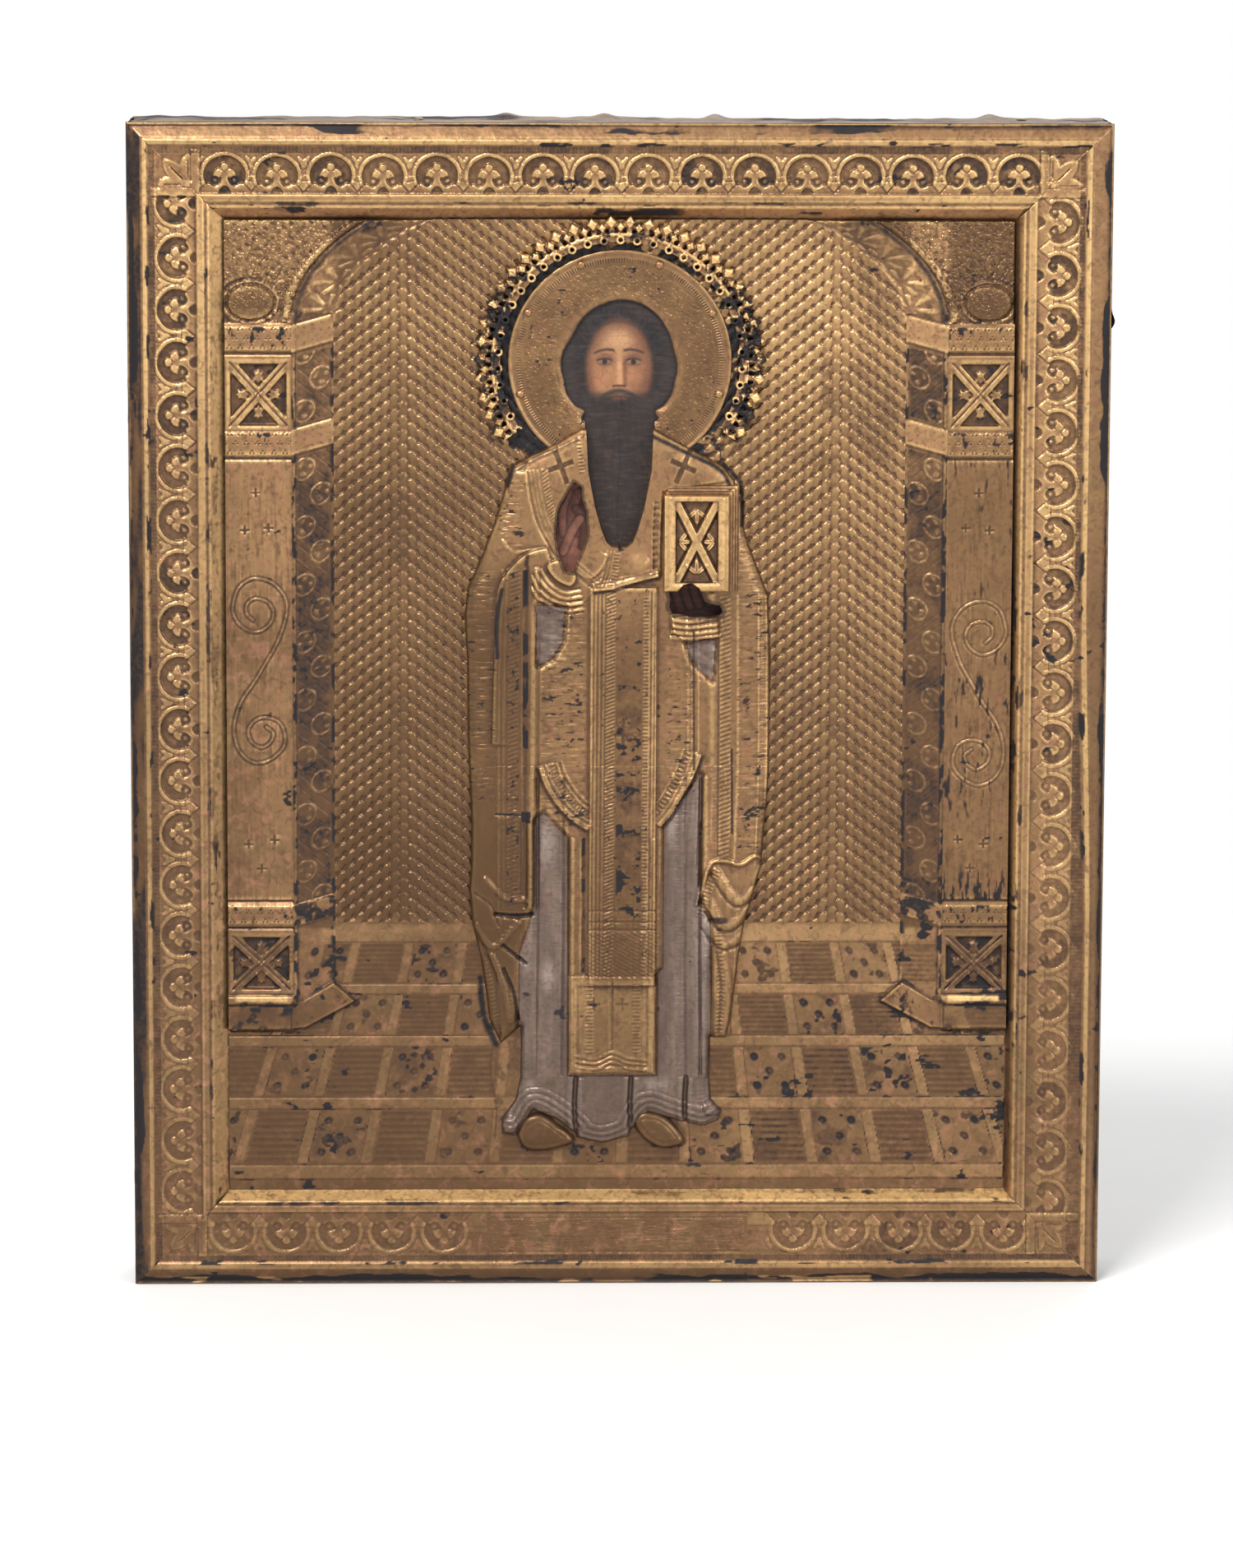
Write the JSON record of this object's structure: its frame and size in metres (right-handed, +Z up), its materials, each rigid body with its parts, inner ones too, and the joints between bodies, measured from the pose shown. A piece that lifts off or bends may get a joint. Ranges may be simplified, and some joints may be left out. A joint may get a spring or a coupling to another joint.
{
  "type": "metal-covered devotional icon",
  "caption": "Upright wooden icon panel under a gilt embossed metal cover with border rails, halo, relief figure and painted face, with a swinging hanging ring on its battened back.",
  "frame": {"origin": "middle of the flat bottom edge on which the icon stands, halfway through the board's thickness", "axes": "+X to the viewer's right, the metal front faces -Y and the bare wooden back faces +Y, +Z up along the icon's height"},
  "size_m": [0.222, 0.0316, 0.267],
  "materials": {
    "panel_wood": "aged bare lime wood, darkened",
    "batten_wood": "aged bare oak",
    "gesso": "matt chalk ground",
    "paint_head": "satin varnished oil paint",
    "paint_skin": "satin varnished oil paint",
    "gilt_metal": "worn gilding with dark tarnish in the recesses",
    "silver_metal": "brushed silver with warm tarnish",
    "brad_metal": "dull, flush heads",
    "iron_wire": "dark oxidised wire"
  },
  "bodies": {
    "icon": {"panel_left_plank": "panel_wood", "panel_right_plank": "panel_wood", "upper_batten": "batten_wood", "lower_batten": "batten_wood", "gesso_ground": "gesso", "painted_head": "paint_head", "painted_blessing_hand": "paint_skin", "painted_book_hand": "paint_skin", "edge_strip_top": "gilt_metal", "edge_strip_bottom": "gilt_metal", "edge_strip_left": "gilt_metal", "edge_strip_right": "gilt_metal", "edge_brads": "brad_metal", "border_rail_top": "gilt_metal", "border_rail_bottom": "gilt_metal", "border_rail_left": "gilt_metal", "border_rail_right": "gilt_metal", "field_sheet": "gilt_metal", "halo_disc": "gilt_metal", "halo_crown": "gilt_metal", "halo_pins": "brad_metal", "vestment": "gilt_metal", "tunic": "silver_metal", "gospel_book": "gilt_metal", "ring_staple": "iron_wire"},
    "loop": {"hanging_ring": "iron_wire"}
  },
  "joints": [
    {"name": "ring_swing", "type": "hinge", "parent": "icon", "child": "loop", "pos_m": [0, 0.0111, 0.256], "axis": [1, 0, 0], "range_deg": [0, 178]}
  ]
}
